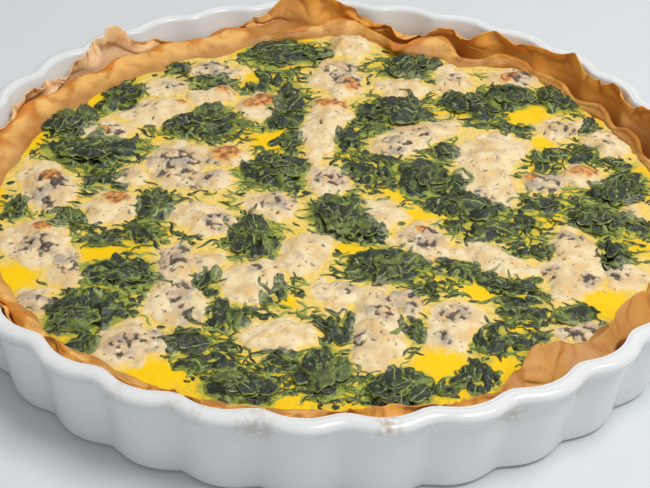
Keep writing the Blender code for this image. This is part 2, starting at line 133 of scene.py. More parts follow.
# Low mounds that the custard's solid holds: x, y, half length, half width in mm and turn in degrees
SMALL_CHEESE = [
    (-70, 80, 9, 7, 40), (-89, 43, 9, 8, 20), (-41, 25, 8, 7, 0), (-43, 8, 6, 7, 0), (-77, 9, 6, 7, 0),
    (-94, -57, 7, 6, 0), (-102, -74, 8, 6, 60), (-43, -47, 6, 7, 0), (81, 96, 11, 8, 0),
    (22, -13, 7, 9, 20), (119, -8, 4, 5, 0), (4, -66, 8, 9, 0), (30, -70, 5, 7, 0), (89, -84, 9, 5, 0),
    (110, -51, 9, 6, 60),
]
SMALL_SPINACH = [
    (-53, 86, 12, 4, 0), (-66, 96, 6, 6, 0), (-28, 87, 7, 10, 0), (-86, 5, 10, 6, -30),
    (-98, -21, 9, 6, -20), (-118, -15, 5, 8, 0), (-84, -34, 10, 5, 20), (-67, -32, 8, 5, -20),
    (-42, -59, 5, 9, 0), (-18, -65, 4, 9, 0), (-33, -79, 8, 9, 0), (-46, -94, 8, 6, 0),
    (-40, -106, 9, 5, 0), (-13, -104, 7, 6, 0), (-83, -96, 6, 6, 0), (-15, 38, 6, 9, 0), (9, 39, 6, 9, 0),
    (20, 50, 6, 4, 0), (11, 14, 5, 9, 20), (21, 20, 6, 9, 0), (47, 33, 6, 8, 0), (50, 10, 4, 8, 0),
    (75, 54, 9, 3, -15), (88, 31, 6, 7, 0), (104, 33, 7, 5, 40), (117, 26, 6, 4, -20),
    (108, 54, 8, 3, 55), (56, -23, 11, 6, -20), (76, -18, 7, 7, 0), (84, -4, 8, 5, 20),
    (76, -34, 9, 4, 10), (107, -36, 7, 10, 0), (119, -17, 5, 6, 0), (48, -49, 8, 7, 0),
    (61, -56, 7, 4, -25), (71, -59, 8, 6, 0), (69, -72, 8, 7, 0), (92, -75, 8, 5, 0),
    (58, -89, 7, 9, -15), (72, -92, 8, 8, 0), (5, -84, 5, 10, -20), (31, -85, 4, 8, 0),
    (53, -109, 6, 9, 0), (37, -60, 4, 5, 0), (41, -116, 9, 3, 30),
]
# Blue mould and baked spots on the cheese: x, y and radius in mm
MOULD_SPOTS = [
    (-50, 96, 9), (-66, 82, 6), (-76, 62, 4), (-89, 43, 5), (-61, 18, 11), (-50, 14, 9), (-52, 4, 6),
    (-77, 9, 3), (-107, 2, 7), (-108, -9, 6), (-106, -40, 7), (-92, -50, 7), (-102, -74, 7),
    (-40, -22, 6), (-17, -7, 8), (-54, -45, 9), (-50, -68, 6), (-47, -80, 6), (-60, -92, 8),
    (-68, -98, 6), (3, 103, 9), (6, 90, 7), (1, 9, 7), (28, 36, 8), (38, 45, 5), (46, 56, 4), (84, 11, 9),
    (97, 53, 6), (60, 3, 3), (38, -30, 7), (82, -50, 4), (96, -54, 4), (92, -27, 5), (8, -62, 5),
    (28, -68, 8), (20, -77, 6), (14, -93, 5), (46, -76, 6), (40, -90, 4), (89, -84, 8), (107, -49, 5),
    (54, 92, 4), (84, 96, 6), (-25, -52, 3), (115, 40, 3), (-20, -60, 2),
]
BAKED_SPOTS = [
    (-26, 70, 6), (-33, 66, 4), (-40, 27, 7), (-45, 76, 4), (-80, -8, 6), (-1, 70, 6), (7, 68, 4),
    (10, 84, 5), (102, 19, 6), (-108, 6, 5), (-92, 42, 3), (78, 95, 4), (80, 15, 4), (-106, -28, 4),
    (36, -25, 3), (-62, 66, 3),
]
# How much further than its solid each kind has melted or sagged out
SPREAD = {"cheese": 1.9 * MM, "spinach": 0.4 * MM}
TOPPING_MARGIN = 2.2 * MM
LOW_TOPPING_HEIGHT = 2.2 * MM
# A clump has one more leaf or strip for each of these lengths in its size
SMALL_LEAF_SPACE = 2.0 * MM
BROAD_LEAF_SPACE = 4.2 * MM
STRIP_SPACE = 1.5 * MM
SHREDS = 1300
# Patches of bare custard that stay free of shreds
BARE_CUSTARD = [
    (-22, 40, 9), (-112, -60, 10), (30, 3, 7), (34, -14, 6), (10, -35, 6), (84, 64, 10), (40, -103, 10),
    (62, -107, 7), (-57, -114, 11), (-43, -97, 4), (100, -67, 10), (-84, -43, 8), (-12, -72, 4),
    (56, -62, 6), (88, 42, 6), (-98, 66, 5), (-10, -30, 4), (-33, 92, 4), (84, -100, 8),
]
# Tan smudges baked onto the dish: azimuth in degrees, height and radius in mm, strength
SMUDGES = [
    (243.8, 37, 1.6, 0.5), (254.2, 37.4, 1.6, 0.5), (261.8, 33, 6.5, 0.55), (250.8, 36, 4, 0.3),
    (254.5, 32, 1.2, 0.5), (245.0, 22.5, 1.2, 0.5), (278.2, 36.5, 3.2, 0.9), (295.5, 29.5, 5, 0.55),
    (305.5, 29.5, 5, 0.6), (288, 33, 2.5, 0.3), (297.5, 33, 3, 0.4),
]

# The photo's camera, fitted to the rim and the flutes
CAMERA_DISTANCE = 656.33 * MM
CAMERA_ELEVATION = 0.614
CAMERA_PAN = 0.0003
CAMERA_TILT = 0.0051
CAMERA_ROLL = -0.0245
FOCAL_PIXELS = 1647.9
PHOTO_WIDTH = 650
SENSOR_WIDTH = 36


def flute_wave(angle, sharpness=0.0):
    """Rises to a broad crest and falls to a narrow valley once in each flute."""
    phase = FLUTES * (angle - FLUTE_TURN)
    smooth = np.cos(phase) - 0.15 * np.cos(2 * phase)
    creased = 2.0 * np.abs(np.cos(phase / 2)) - 1.15
    return (1 - sharpness) * smooth + sharpness * creased


def degrees_away(angle, azimuth):
    """How far each angle lies from an azimuth, in degrees from -180 to 180."""
    return (np.degrees(angle) - azimuth + 180) % 360 - 180


def bell(angle, azimuth, spread):
    """1 at an azimuth, fading to 0 on both sides of it."""
    return np.exp(-((degrees_away(angle, azimuth) / spread) ** 2))


def local_change(angle, changes):
    """The sum, in metres, of the smooth bumps listed round the edge."""
    return MM * sum(size * bell(angle, azimuth, spread) for azimuth, spread, size in changes)


def around(count):
    """Angles spaced evenly round a full turn."""
    return np.arange(count) * TURN / count


def field(points, size, seed):
    """Smooth noise from about -1 to 1, with features of this size in mm, at each point."""
    scaled = points / (size * MM) + np.array([seed, 0.7 * seed, -seed])
    return np.array([noise.noise(Vector(p)) for p in scaled.reshape(-1, 3)]).reshape(scaled.shape[:-1])


def ridges(points, size, seed):
    """Noise that is 1 along thin winding ridges and falls to 0 between them."""
    return 1 - np.minimum(np.abs(field(points, size, seed)) * 2.5, 1)


def smoothstep(low, high, value):
    share = np.clip((value - low) / (high - low), 0, 1)
    return share * share * (3 - 2 * share)


def polar(radius, angle, height):
    radius, angle, height = np.broadcast_arrays(radius, angle, height)
    return np.stack([radius * np.cos(angle), radius * np.sin(angle), height], axis=-1)


def grid_faces(rows, columns, wrap):
    """Quads between the points of a grid, whose rows close on themselves where wrap is set."""
    last = columns if wrap else columns - 1
    row, column = np.meshgrid(np.arange(rows - 1), np.arange(last), indexing="ij")
    after = (column + 1) % columns
    near = row * columns
    far = near + columns
    return np.stack([near + column, near + after, far + after, far + column], axis=-1).reshape(-1, 4)


def closed_rings(rows, columns):
    """Rings of quads, with one flat face across the first ring and one across the last."""
    last = (rows - 1) * columns
    caps = [list(range(columns)), list(range(last, last + columns))]
    return grid_faces(rows, columns, True).tolist() + caps


def boundary(rows, columns):
    """The points along the edge of a grid, in order."""
    index = np.arange(rows * columns).reshape(rows, columns)
    return np.concatenate([index[0, :-1], index[:-1, -1], index[-1, :0:-1], index[:0:-1, 0]])


def make_piece(name, points, faces, replaced, material, layers):
    """A mesh piece that rides on the root body. Each layer is a named value at every point."""
    mesh = bpy.data.meshes.new(name)
    mesh.from_pydata(points.reshape(-1, 3).tolist(), [], faces)
    for layer, values in layers.items():
        attribute = mesh.attributes.new(layer, "FLOAT", "POINT")
        attribute.data.foreach_set("value", values.astype(np.float32).ravel())
    mesh.materials.append(material)
    mesh.shade_smooth()
    outward = bmesh.new()
    outward.from_mesh(mesh)
    bmesh.ops.recalc_face_normals(outward, faces=outward.faces)
    outward.to_mesh(mesh)
    outward.free()
    piece = bpy.data.objects.new(name, mesh)
    bpy.context.scene.collection.objects.link(piece)
    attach(piece, "root")
    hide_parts(*replaced)
    return piece


# Materials

class Shader:
    """A procedural material, its colour built up from covers that lie one over the other. Sizes are in mm."""

    def __init__(self, name, roughness, specular, subsurface=None):
        """Subsurface is its weight, its depth and the reach of red, green and blue."""
        self.material = bpy.data.materials.new(name)
        self.material.use_nodes = True
        self.tree = self.material.node_tree
        self.surface = self.tree.nodes["Principled BSDF"]
        self.position = self.tree.nodes.new("ShaderNodeTexCoord").outputs["Object"]
        self.surface.inputs["Roughness"].default_value = roughness
        self.surface.inputs["Specular IOR Level"].default_value = specular
        if subsurface:
            weight, depth, reach = subsurface
            self.surface.inputs["Subsurface Weight"].default_value = weight
            self.surface.inputs["Subsurface Scale"].default_value = depth * MM
            self.surface.inputs["Subsurface Radius"].default_value = reach
        self.tint = None

    def link(self, value, socket):
        if isinstance(value, bpy.types.NodeSocket):
            self.tree.links.new(value, socket)
        else:
            socket.default_value = value

    def pattern(self, kind, size, **settings):
        """A texture node that is laid out by the object's own coordinates."""
        node = self.tree.nodes.new(kind)
        self.tree.links.new(self.position, node.inputs["Vector"])
        node.inputs["Scale"].default_value = 1 / (size * MM)
        for socket, value in settings.items():
            node.inputs[socket].default_value = value
        return node

    def noise(self, size, detail=3, distortion=0.0):
        return self.pattern("ShaderNodeTexNoise", size, Detail=detail, Distortion=distortion).outputs["Fac"]

    def cells(self, size):
        return self.pattern("ShaderNodeTexVoronoi", size).outputs["Distance"]

    def layer(self, name):
        node = self.tree.nodes.new("ShaderNodeAttribute")
        node.attribute_name = name
        return node.outputs["Fac"]

    def ramp(self, value, low, high):
        """Value rises from 0 at low to 1 at high, smoothly."""
        node = self.tree.nodes.new("ShaderNodeMapRange")
        node.interpolation_type = "SMOOTHSTEP"
        self.link(value, node.inputs["Value"])
        node.inputs["From Min"].default_value = low
        node.inputs["From Max"].default_value = high
        return node.outputs["Result"]

    def math(self, operation, first, second):
        node = self.tree.nodes.new("ShaderNodeMath")
        node.operation = operation
        node.use_clamp = operation != "SUBTRACT"
        self.link(first, node.inputs[0])
        self.link(second, node.inputs[1])
        return node.outputs["Value"]

    def times(self, first, second):
        return self.math("MULTIPLY", first, second)

    def blotches(self, size, detail, low, high, distortion=0.0):
        """Noise with its middle tones drawn apart."""
        return self.ramp(self.noise(size, detail, distortion), low, high)

    def frayed(self, name, size, detail, low, high, distortion=0.0, middle=0.5):
        """A mesh layer with its edges broken up by noise."""
        wander = self.math("SUBTRACT", self.noise(size, detail, distortion), middle)
        return self.ramp(self.math("ADD", self.layer(name), wander), low, high)

    def mix(self, share, first, second):
        """A colour between two, each a socket or red, green and blue."""
        node = self.tree.nodes.new("ShaderNodeMix")
        node.data_type = "RGBA"
        self.link(share, node.inputs["Factor"])
        for value, socket in ((first, node.inputs["A"]), (second, node.inputs["B"])):
            self.link(value if isinstance(value, bpy.types.NodeSocket) else (*value, 1), socket)
        return node.outputs["Result"]

    def mottled(self, size, detail, first, second):
        """Two colours mixed by noise."""
        return self.mix(self.noise(size, detail), first, second)

    def cover(self, share, colour, strength=1):
        """Lays a colour over what is there so far."""
        if strength < 1:
            share = self.times(share, strength)
        self.tint = self.mix(share, self.tint, colour)

    def roughen(self, base, share, more):
        """Roughness that rises from its base with a share."""
        self.link(self.math("ADD", base, self.times(share, more)), self.surface.inputs["Roughness"])

    def bump(self, size, detail, distance, strength=1.0):
        """Low relief from noise, over any relief that is there already."""
        node = self.tree.nodes.new("ShaderNodeBump")
        node.inputs["Distance"].default_value = distance * MM
        node.inputs["Strength"].default_value = strength
        self.link(self.noise(size, detail), node.inputs["Height"])
        normal = self.surface.inputs["Normal"]
        if normal.links:
            self.tree.links.new(normal.links[0].from_socket, node.inputs["Normal"])
        self.tree.links.new(node.outputs["Normal"], normal)

    def finish(self):
        self.link(self.tint, self.surface.inputs["Base Color"])
        return self.material


def porcelain_material():
    shader = Shader("porcelain", 0.2, 0.35)
    shader.tint = shader.mottled(60, 3, (0.69, 0.715, 0.725), (0.74, 0.76, 0.77))
    speckle = shader.times(shader.layer("smudge"), shader.blotches(2.2, 5, 0.40, 0.62))
    shader.cover(speckle, (0.42, 0.30, 0.17))
    shader.roughen(0.1, speckle, 0.4)
    shader.bump(25, 1, 0.15)
    return shader.finish()


def paper_material():
    shader = Shader("baking_paper", 0.5, 0.3, (0.15, 2, (1.0, 0.5, 0.2)))
    shader.tint = shader.mottled(9, 4, (0.76, 0.29, 0.035), (0.94, 0.47, 0.09))
    shader.cover(shader.layer("dry"), shader.mottled(11, 4, (0.94, 0.59, 0.32), (0.98, 0.74, 0.49)))
    # Painted shade: darker brown over the paper round one azimuth, where its face is turned from the light
    shader.cover(shader.layer("dark"), (0.44, 0.22, 0.07))
    shader.cover(shader.ramp(shader.layer("crease"), 0.2, 0.9), (0.42, 0.16, 0.03), 0.8)
    shader.cover(shader.blotches(1.2, 4, 0.52, 0.75), (0.55, 0.26, 0.07), 0.5)
    shader.bump(2.0, 5, 0.25, 0.7)
    return shader.finish()


def pastry_material():
    shader = Shader("pastry", 0.45, 0.35, (0.1, 1.5, (1.0, 0.5, 0.25)))
    shader.tint = shader.mottled(7, 4, (0.70, 0.34, 0.06), (0.88, 0.55, 0.18))
    golden = shader.mottled(5, 5, (0.50, 0.15, 0.006), (0.70, 0.26, 0.02))
    shader.cover(shader.frayed("baked", 6, 3, 0.2, 0.75), golden)
    shader.cover(shader.frayed("burnt", 4, 3, 0.35, 1.0), (0.46, 0.13, 0.008))
    shader.cover(shader.blotches(6, 5, 0.46, 0.68, 0.5), (0.50, 0.19, 0.02), 0.6)
    # A dark brown band at the pastry's foot: partly a soaked stain, partly painted shade where it meets the
    # custard
    shader.cover(shader.layer("soaked_and_shaded"), (0.40, 0.17, 0.035), 0.8)
    shader.bump(1.3, 6, 0.3)
    shader.bump(6, 3, 0.6)
    return shader.finish()


def custard_material():
    shader = Shader("custard", 0.4, 0.12, (0.1, 1.5, (1.0, 0.6, 0.05)))
    shader.tint = shader.mottled(8, 4, (0.90, 0.52, 0.002), (0.94, 0.64, 0.004))
    cream = shader.mottled(3, 5, (0.82, 0.58, 0.14), (0.84, 0.67, 0.32))
    covered = shader.math("SUBTRACT", 1.0, shader.layer("bare"))
    covers = [
        (shader.frayed("cream", 6, 6, 0.25, 0.75, 0.6, 0.45), cream, 0.85),
        (shader.blotches(2.0, 6, 0.50, 0.62, 1.2), (0.46, 0.40, 0.07), 0.6),
        (shader.blotches(5, 5, 0.48, 0.66, 0.6), (0.62, 0.42, 0.12), 0.5),
    ]
    for share, colour, strength in covers:
        shader.cover(shader.times(share, covered), colour, strength)
    green = shader.mottled(1.6, 6, (0.16, 0.22, 0.03), (0.60, 0.54, 0.09))
    shader.cover(shader.frayed("green", 2.5, 5, 0.15, 0.8), green)
    shader.bump(1.6, 5, 0.25)
    return shader.finish()


def cheese_material():
    shader = Shader("melted_cheese", 0.4, 0.4, (0.2, 1.5, (1.0, 0.75, 0.45)))
    shader.tint = shader.mottled(7, 3, (0.76, 0.58, 0.29), (0.90, 0.79, 0.54))
    shader.cover(shader.ramp(shader.layer("tone"), 0.35, 0.85), (0.72, 0.52, 0.26))
    shader.cover(shader.blotches(6, 4, 0.50, 0.72, 0.5), (0.80, 0.49, 0.16), 0.75)
    shader.cover(shader.blotches(4.2, 6, 0.54, 0.70, 0.8), (0.52, 0.39, 0.25), 0.65)
    shader.cover(shader.frayed("film", 2, 5, 0.2, 0.85), (0.88, 0.60, 0.12))
    haze = shader.times(shader.layer("zone"), shader.blotches(3.4, 5, 0.32, 0.68))
    shader.cover(haze, (0.50, 0.37, 0.25), 0.85)
    blue = shader.mottled(1.5, 4, (0.24, 0.21, 0.18), (0.50, 0.45, 0.38))
    shader.cover(shader.layer("blue"), blue, 0.85)
    shader.cover(shader.frayed("baked", 4, 5, 0.1, 0.75), (0.84, 0.55, 0.22), 0.8)
    orange = shader.mix(shader.blotches(2.2, 5, 0.40, 0.62), (0.74, 0.33, 0.07), (0.30, 0.10, 0.03))
    shader.cover(shader.frayed("baked", 2.5, 5, 0.4, 0.95), orange)
    dark = shader.frayed("mould", 1.2, 4, 0.2, 0.85)
    mould = shader.mix(shader.blotches(1.2, 4, 0.35, 0.65), (0.038, 0.026, 0.022), (0.17, 0.13, 0.10))
    shader.cover(dark, mould)
    specks = shader.times(shader.ramp(shader.cells(2.6), 0.22, 0.10), shader.blotches(7, 3, 0.44, 0.56))
    shader.cover(specks, (0.16, 0.11, 0.07), 0.7)
    shader.roughen(0.38, dark, 0.3)
    shader.bump(1.5, 5, 0.2)
    return shader.finish()


def spinach_material():
    shader = Shader("cooked_spinach", 0.3, 0.5)
    shader.tint = shader.mottled(1.8, 5, (0.004, 0.009, 0.004), (0.030, 0.045, 0.022))
    lively = shader.mottled(1.8, 5, (0.055, 0.095, 0.014), (0.25, 0.31, 0.05))
    shader.cover(shader.frayed("tone", 3, 6, 0.36, 0.98, 0.8), lively)
    shader.cover(shader.ramp(shader.layer("vein"), 0.45, 0.9), (0.34, 0.44, 0.11), 0.85)
    # Yellow-green leaf edges: partly custard at the edge and partly painted light shining through the thin
    # leaf
    shader.cover(shader.frayed("edge", 2.2, 4, 0.6, 1.05), (0.34, 0.41, 0.06), 0.75)
    shader.cover(shader.frayed("milk", 2.0, 6, 0.6, 1.1, 0.5), (0.50, 0.52, 0.30), 0.7)
    shader.bump(1.1, 5, 0.5)
    shader.bump(0.5, 4, 0.15)
    return shader.finish()


MATERIALS = {
    "dish": porcelain_material(),
    "paper": paper_material(),
    "crust": pastry_material(),
    "custard": custard_material(),
    "cheese": cheese_material(),
    "spinach": spinach_material(),
}


# Dish

def dish_profile():
    """Radius, height, flute depth and crease sharpness, from under the foot up and over to the floor."""
    foot = DISH_FOOT_RADIUS
    lip = DISH_LIP_RADIUS
    top = DISH_HEIGHT
    inner = DISH_INNER_FOOT_RADIUS
    recess = FOOT_RECESS_RADIUS
    outside = [
        (recess - 40 * MM, FOOT_RECESS_DEPTH, 0, 0),
        (recess - 1 * MM, FOOT_RECESS_DEPTH, 0, 0),
        (recess, 0.9 * MM, 0, 0),
        (recess + 0.6 * MM, 0, 0, 0),
        (foot - 2 * MM, 0, 0.3 * OUTER_FLUTE, 0.2),
        (foot + 1.0 * MM, 0.35 * MM, 0.75 * OUTER_FLUTE, 0.5),
        (foot + 2.6 * MM, 1.7 * MM, OUTER_FLUTE, 0.65),
        (foot + 3.4 * MM, 5 * MM, OUTER_FLUTE, 0.65),
        (foot + 4.5 * MM, 11 * MM, OUTER_FLUTE, 0.6),
        (foot + 5.7 * MM, 18 * MM, OUTER_FLUTE, 0.5),
        (foot + 6.6 * MM, 25 * MM, OUTER_FLUTE, 0.4),
        (lip - 3.6 * MM, top - 7.5 * MM, OUTER_FLUTE, 0.3),
        (lip - 1.9 * MM, top - 5.2 * MM, OUTER_FLUTE, 0.2),
        (lip - 0.3 * MM, top - 3.4 * MM, OUTER_FLUTE, 0.1),
        (lip, top - 2.2 * MM, OUTER_FLUTE, 0.05),
        (lip - 0.6 * MM, top - 0.9 * MM, OUTER_FLUTE, 0),
        (lip - 2.0 * MM, top - 0.15 * MM, OUTER_FLUTE, 0),
        (lip - 3.6 * MM, top, OUTER_FLUTE, 0),
        (lip - 5.2 * MM, top - 0.5 * MM, INNER_FLUTE, 0),
        (lip - DISH_LIP_WIDTH, top - 1.8 * MM, INNER_FLUTE, 0),
    ]
    inside = [
        (inner + 3.6 * MM, 22 * MM, INNER_FLUTE, 0),
        (inner, DISH_INNER_FOOT_HEIGHT, INNER_FLUTE, 0),
        (inner - 1.5 * MM, 6 * MM, 0.8 * INNER_FLUTE, 0),
        (inner - 4.3 * MM, DISH_FLOOR, 0.4 * INNER_FLUTE, 0),
        (inner - 40 * MM, DISH_FLOOR, 0, 0),
    ]
    return np.array(outside + inside)


def smooth_rows(rows, between):
    """Rows of numbers with points added between them along a Catmull-Rom curve."""
    padded = np.vstack([rows[:1], rows, rows[-1:]])
    found = []
    for start in range(len(rows) - 1):
        a, b, c, d = padded[start : start + 4]
        for step in range(between):
            t = step / between
            square = 2 * a - 5 * b + 4 * c - d
            cube = 3 * b - a - 3 * c + d
            found.append(0.5 * (2 * b + (c - a) * t + square * t**2 + cube * t**3))
    return np.array(found + [rows[-1]])


def make_dish():
    rows = smooth_rows(dish_profile(), 3)
    angle = around(FLUTES * DISH_STEPS_PER_FLUTE)[None, :]
    radius, height, depth, sharpness = (rows[:, i : i + 1] for i in range(4))
    points = polar(radius + depth * flute_wave(angle, sharpness), angle, height)
    outside = radius > DISH_INNER_FOOT_RADIUS + 5 * MM
    smudge = np.zeros(points.shape[:2])
    for azimuth, level, spread, strength in SMUDGES:
        along = degrees_away(angle, azimuth) * math.radians(1) * DISH_LIP_RADIUS
        away = np.hypot(along, height - level * MM) / (spread * MM)
        smudge = np.maximum(smudge, np.where(outside, strength * np.exp(-(away**2)), 0))
    faces = closed_rings(*points.shape[:2])
    make_piece("porcelain_dish", points, faces, ["dish"], MATERIALS["dish"], {"smudge": smudge})


# Paper

def wall_radius(height):
    """Radius of the middle of the flutes on the dish's inner wall."""
    return DISH_INNER_FOOT_RADIUS + DISH_WALL_LEAN * (height - DISH_INNER_FOOT_HEIGHT)


def dish_wall(height, angle):
    """Inner radius of the dish's wall, with room for the paper."""
    return wall_radius(height) + INNER_FLUTE * flute_wave(angle) - PAPER_ROOM


def lining_radius(height, angle):
    """Outer radius of the paper, which follows the wall of the dish apart from a few folds."""
    share = np.maximum((height - PAPER_FOOT_HEIGHT) / (PAPER_CREASE_HEIGHT - PAPER_FOOT_HEIGHT), 0)
    follows = wall_radius(height) - LINING_INSET + LINING_FLUTE * flute_wave(angle)
    return follows - share * local_change(angle, LINING_LEANS_IN)


def paper_edge(angle):
    ruffle = 0.9 * MM * np.sin(23 * angle + 2 * np.sin(7 * angle))
    height = PAPER_LOWEST_EDGE + local_change(angle, PAPER_PEAKS) + 0.6 * ruffle
    radius = PAPER_EDGE_RADIUS - local_change(angle, PAPER_LEANS_IN) + ruffle
    return radius, height


def paper_outer(height, angle):
    """Outer radius of the paper, straight from its crease up to its edge."""
    crease_radius = lining_radius(PAPER_CREASE_HEIGHT, angle)
    edge_radius, edge_height = paper_edge(angle)
    share = np.clip((height - PAPER_CREASE_HEIGHT) / (edge_height - PAPER_CREASE_HEIGHT), 0, 1)
    upper = crease_radius + share * (edge_radius - crease_radius)
    return np.where(height <= PAPER_CREASE_HEIGHT, lining_radius(height, angle), upper)


def creases(angle, seed, count=90):
    """Flat facets of uneven width round the edge, between sharp creases from -1 to 1."""
    draw = random.Random(seed)
    places = sorted(draw.uniform(0, TURN) for _ in range(count))
    values = [draw.uniform(-1, 1) for _ in range(count)]
    return np.interp(angle, places, values, period=TURN)


def tabs(angle, seed, count):
    """Steps of uneven width round the edge, each level, from -1 to 1."""
    draw = random.Random(seed)
    places = sorted(draw.uniform(0, TURN) for _ in range(count))
    values = np.array([draw.uniform(-1, 1) for _ in range(count)])
    return values[np.searchsorted(places, angle) % count]


def paper_facets(angle, rise):
    """How far the crumpled paper stands out or in, from nothing at its foot to all of it at its edge."""
    broad = 2.4 * creases(angle + 0.10 * rise, 1, 72) + 2.0 * creases(angle - 0.14 * rise, 2, 90)
    return rise * MM * (broad + 0.7 * creases(angle, 3, 150))


def paper_rise(height, angle):
    """Share of the crumples that a height of the paper shows."""
    start = PAPER_CREASE_HEIGHT - PAPER_CRUMPLE_BAND
    return smoothstep(0.0, 0.85, (height - start) / (paper_edge(angle)[1] - start))


def make_paper():
    angle = around(FLUTES * LINING_STEPS_PER_FLUTE)[None, :]
    edge_height = paper_edge(angle)[1]
    share = np.linspace(0, 1, PAPER_ROWS)[:, None]
    start = PAPER_CREASE_HEIGHT - PAPER_CRUMPLE_BAND
    height = start + share * (edge_height - PAPER_CREASE_HEIGHT + PAPER_CRUMPLE_BAND)
    radius = paper_outer(height, angle)
    points = polar(radius, angle, height)
    rise = paper_rise(height, angle)
    crumple = ridges(points * np.array([1, 1, 0.6]), 7, 3.0)
    buckle = 0.7 * MM * (crumple - 0.5) + 0.6 * MM * field(points, 12, 8.0)
    shifted = radius + (rise * buckle + paper_facets(angle, rise)) - 0.3 * MM * rise
    held = np.minimum(shifted, dish_wall(height, angle))
    jagged = 1.1 * creases(angle, 4, 80) + 0.7 * creases(angle, 5, 170) + 1.5 * tabs(angle, 6, 46)
    jagged = MM * rise**2 * (jagged + 0.4 * field(points, 4, 5.0))
    raised = np.minimum(height + jagged, PAPER_TALLEST)
    edge = polar(np.where(height < DISH_HEIGHT, held, shifted), angle, raised)
    wall_height = np.array([DISH_FLOOR + 3.5 * MM, 16 * MM])[:, None]
    wall = polar(lining_radius(wall_height, angle), angle, wall_height)
    floor = polar(np.array([60 * MM, 130 * MM])[:, None], angle, DISH_FLOOR + 0.3 * MM)
    points = np.concatenate([floor, wall, edge])
    rows, columns = points.shape[:2]
    dry = 0.95 * bell(angle, *DRY_PAPER) + 0.25 * field(points, 30, 4.0)
    layers = {
        "dry": np.clip(dry, 0, 1),
        "crease": np.concatenate([np.zeros((rows - PAPER_ROWS, columns)), crumple**2 * rise]),
        # Painted shade on the paper round one azimuth
        "dark": 0.8 * bell(angle, *SHADED_PAPER) * np.ones((rows, columns)),
    }
    faces = closed_rings(rows, columns)[:-1]
    piece = make_piece("baking_paper", points, faces, ["paper"], MATERIALS["paper"], layers)
    shell = piece.modifiers.new("thickness", "SOLIDIFY")
    shell.thickness = PAPER_THICKNESS
    shell.offset = -1


# Pastry

def custard_radius(angle):
    """Radius where the custard meets the pastry, drawn in where the pastry folds over."""
    return CUSTARD_RADIUS - local_change(angle, CRUST_FOLDS_IN) + 0.8 * MM * flute_wave(angle)


def crust_top(angle):
    return CRUST_TOP + local_change(angle, CRUST_RISES) + 0.4 * MM * flute_wave(angle)


def crust_outer(height, angle):
    """Outer radius of the pastry, which has shrunk from its paper towards the top."""
    share = np.clip((height - CRUST_SHRINK_START) / CRUST_SHRINK_RISE, 0, 1)
    return paper_outer(height, angle) - CRUST_GAP - share * local_change(angle, CRUST_SHRINKS)


def crust_sections(angle):
    """Radius, height and share of roughness, from under the floor out, up over the edge and down inside."""
    top = crust_top(angle)
    waterline = custard_radius(angle)
    crown = crust_outer(top, angle)
    fold = CRUST_FOLD_SHARE * np.maximum(crown - CRUST_EDGE_WIDTH - waterline - 1.8 * MM, 0)
    inner_crown = crown - CRUST_EDGE_WIDTH - fold
    sections = [
        (127 * MM, CRUST_BOTTOM, 0),
        (crust_outer(11 * MM, angle) - 0.4 * MM, 11 * MM, 0),
        (crust_outer(20 * MM, angle) - 0.2 * MM, 20 * MM, 0),
        (crust_outer(27 * MM, angle) - 0.1 * MM, 27 * MM, 0.2),
        (crust_outer(top - 1.6 * MM, angle) - 0.2 * MM, top - 1.6 * MM, 0.6),
        (crown - 0.5 * MM, top - 0.3 * MM, 0.9),
        (crown - 1.5 * MM, top + 0.4 * MM, 1.0),
        (crown - 0.5 * CRUST_EDGE_WIDTH - 1.0 * MM - 0.45 * fold, top, 1.0),
        (inner_crown, top - 1.0 * MM, 0.9),
        (0.5 * (inner_crown + waterline), 0.5 * (top + CUSTARD_TOP) - 0.4 * MM, 0.7),
        (waterline, CUSTARD_TOP - 0.9 * MM, 0.25),
        (waterline - 2.2 * MM, 22 * MM, 0.1),
        (np.minimum(waterline, CUSTARD_RADIUS) - 4 * MM, CRUST_BOTTOM + 4 * MM, 0),
    ]
    rows = [np.stack(np.broadcast_arrays(*section, angle)[:3], axis=-1)[0] for section in sections]
    return smooth_rows(np.array(rows), 4), inner_crown


def make_crust():
    angle = around(FLUTES * LINING_STEPS_PER_FLUTE)[None, :]
    top = crust_top(angle)
    crown = crust_outer(top, angle)
    rows, inner_crown = crust_sections(angle)
    radius, height, shown = rows[..., 0], rows[..., 1], np.clip(rows[..., 2], 0, 1)
    points = polar(radius, angle, height)
    lumps = 3.0 * MM * field(points, 17, 1.0) + 2.2 * MM * field(points, 8, 2.0)
    lumps = lumps + 1.5 * MM * creases(angle + (radius - crown) / (50 * MM), 21, 60)
    lumps = lumps + 0.2 * MM * field(points, 2, 6.0)
    cracks = smoothstep(0.8, 1.0, ridges(points, 9, 7.0))
    lift = shown * (lumps - 0.35 * MM * cracks)
    raised = height + 0.6 * lift
    sway = 1.3 * MM * field(points, 24, 15.0) - LEVELLED * MM * flute_wave(angle)
    sway = smoothstep(0.1, 0.6, shown) * sway
    inward = np.minimum(paper_facets(angle, paper_rise(raised, angle)), 0)
    room = paper_outer(raised, angle) + inward - CRUST_ROOM
    drape = smoothstep(0.12, 0.3, shown) * smoothstep(2.5 * MM, 0.8 * MM, np.abs(height - CUSTARD_TOP))
    drape = drape * (radius < inner_crown) * 2.2 * MM * smoothstep(-0.4, 0.5, field(points, 13, 17.0))
    dressed = polar(np.minimum(radius - 0.25 * lift + sway - drape, room), angle, raised)
    layers = crust_layers(dressed, height, radius - crown, height - top, lumps, bell(angle, *PALE_PASTRY))
    faces = closed_rings(*dressed.shape[:2])
    make_piece("pastry_case", dressed, faces, ["crust"], MATERIALS["crust"], layers)


